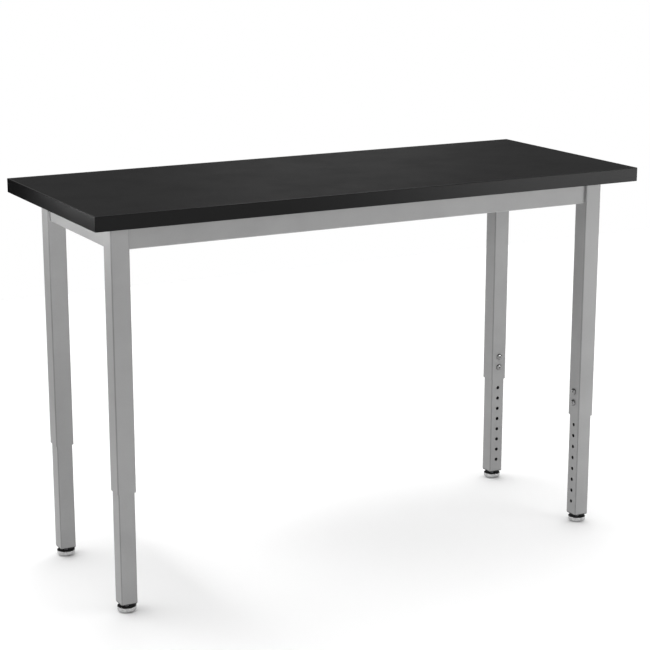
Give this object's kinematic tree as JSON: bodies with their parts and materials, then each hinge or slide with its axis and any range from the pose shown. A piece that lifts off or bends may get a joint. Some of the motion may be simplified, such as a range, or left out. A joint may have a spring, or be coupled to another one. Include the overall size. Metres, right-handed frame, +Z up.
{
  "type": "science lab table",
  "caption": "Science lab table with a black laminate top on a grey welded steel frame, telescoping square legs held by screws, and levelling glides.",
  "frame": {"origin": "on the floor under the middle of the table", "axes": "+X along the table's length, +Y to its back, +Z up"},
  "size_m": [1.2192, 0.4952, 0.8001],
  "materials": {
    "board": "raw particle board",
    "laminate": "black satin laminate with a fine texture",
    "backer": "dark matt backing sheet",
    "edge_band": "black satin edge band",
    "frame_paint": "grey powder coat, satin",
    "plated_screw": "bright plated",
    "zinc_steel": "zinc plated",
    "chrome_plate": "bright plated",
    "black_nylon": "black moulded nylon",
    "black_rubber": "black rubber"
  },
  "bodies": {
    "frame": {"top_core": "board", "top_laminate": "laminate", "top_backer": "backer", "edge_band_front": "edge_band", "edge_band_back": "edge_band", "edge_band_left": "edge_band", "edge_band_right": "edge_band", "rail_front": "frame_paint", "rail_back": "frame_paint", "rail_left": "frame_paint", "rail_right": "frame_paint", "top_screws": "zinc_steel", "upper_leg_front_right": "frame_paint", "corner_plate_front_right": "frame_paint", "leg_screws_front_right": "plated_screw", "upper_leg_back_right": "frame_paint", "corner_plate_back_right": "frame_paint", "leg_screws_back_right": "plated_screw", "upper_leg_back_left": "frame_paint", "corner_plate_back_left": "frame_paint", "leg_screws_back_left": "plated_screw", "upper_leg_front_left": "frame_paint", "corner_plate_front_left": "frame_paint", "leg_screws_front_left": "plated_screw"},
    "leg_front_right": {"lower_leg_front_right": "frame_paint", "leg_insert_front_right": "black_nylon", "insert_nut_front_right": "zinc_steel"},
    "stem_front_right": {"glide_stem_front_right": "zinc_steel"},
    "foot_front_right": {"glide_cup_front_right": "chrome_plate", "glide_cushion_front_right": "black_rubber"},
    "leg_back_right": {"lower_leg_back_right": "frame_paint", "leg_insert_back_right": "black_nylon", "insert_nut_back_right": "zinc_steel"},
    "stem_back_right": {"glide_stem_back_right": "zinc_steel"},
    "foot_back_right": {"glide_cup_back_right": "chrome_plate", "glide_cushion_back_right": "black_rubber"},
    "leg_back_left": {"lower_leg_back_left": "frame_paint", "leg_insert_back_left": "black_nylon", "insert_nut_back_left": "zinc_steel"},
    "stem_back_left": {"glide_stem_back_left": "zinc_steel"},
    "foot_back_left": {"glide_cup_back_left": "chrome_plate", "glide_cushion_back_left": "black_rubber"},
    "leg_front_left": {"lower_leg_front_left": "frame_paint", "leg_insert_front_left": "black_nylon", "insert_nut_front_left": "zinc_steel"},
    "stem_front_left": {"glide_stem_front_left": "zinc_steel"},
    "foot_front_left": {"glide_cup_front_left": "chrome_plate", "glide_cushion_front_left": "black_rubber"}
  },
  "joints": [
    {"name": "leg_slide_front_right", "type": "slide", "parent": "frame", "child": "leg_front_right", "axis": [0, 0, -1], "range_m": [-0.2286, 0.0762]},
    {"name": "glide_travel_front_right", "type": "slide", "parent": "leg_front_right", "child": "stem_front_right", "axis": [0, 0, -1], "range_m": [-0.00424, 0.01271]},
    {"name": "glide_turn_front_right", "type": "hinge", "parent": "stem_front_right", "child": "foot_front_right", "pos_m": [0.53975, -0.17145, 0.011], "axis": [0, 0, -1], "range_deg": [-1080, 3240]},
    {"name": "leg_slide_back_right", "type": "slide", "parent": "frame", "child": "leg_back_right", "axis": [0, 0, -1], "range_m": [-0.2286, 0.0762]},
    {"name": "glide_travel_back_right", "type": "slide", "parent": "leg_back_right", "child": "stem_back_right", "axis": [0, 0, -1], "range_m": [-0.00424, 0.01271]},
    {"name": "glide_turn_back_right", "type": "hinge", "parent": "stem_back_right", "child": "foot_back_right", "pos_m": [0.53975, 0.17145, 0.011], "axis": [0, 0, -1], "range_deg": [-1080, 3240]},
    {"name": "leg_slide_back_left", "type": "slide", "parent": "frame", "child": "leg_back_left", "axis": [0, 0, -1], "range_m": [-0.2286, 0.0762]},
    {"name": "glide_travel_back_left", "type": "slide", "parent": "leg_back_left", "child": "stem_back_left", "axis": [0, 0, -1], "range_m": [-0.00424, 0.01271]},
    {"name": "glide_turn_back_left", "type": "hinge", "parent": "stem_back_left", "child": "foot_back_left", "pos_m": [-0.53975, 0.17145, 0.011], "axis": [0, 0, -1], "range_deg": [-1080, 3240]},
    {"name": "leg_slide_front_left", "type": "slide", "parent": "frame", "child": "leg_front_left", "axis": [0, 0, -1], "range_m": [-0.2286, 0.0762]},
    {"name": "glide_travel_front_left", "type": "slide", "parent": "leg_front_left", "child": "stem_front_left", "axis": [0, 0, -1], "range_m": [-0.00424, 0.01271]},
    {"name": "glide_turn_front_left", "type": "hinge", "parent": "stem_front_left", "child": "foot_front_left", "pos_m": [-0.53975, -0.17145, 0.011], "axis": [0, 0, -1], "range_deg": [-1080, 3240]}
  ],
  "couplings": [
    {"joint": "glide_travel_front_right", "follows": "glide_turn_front_right", "m_per_rad": 0.00022458},
    {"joint": "glide_travel_back_right", "follows": "glide_turn_back_right", "m_per_rad": 0.00022458},
    {"joint": "glide_travel_back_left", "follows": "glide_turn_back_left", "m_per_rad": 0.00022458},
    {"joint": "glide_travel_front_left", "follows": "glide_turn_front_left", "m_per_rad": 0.00022458}
  ]
}
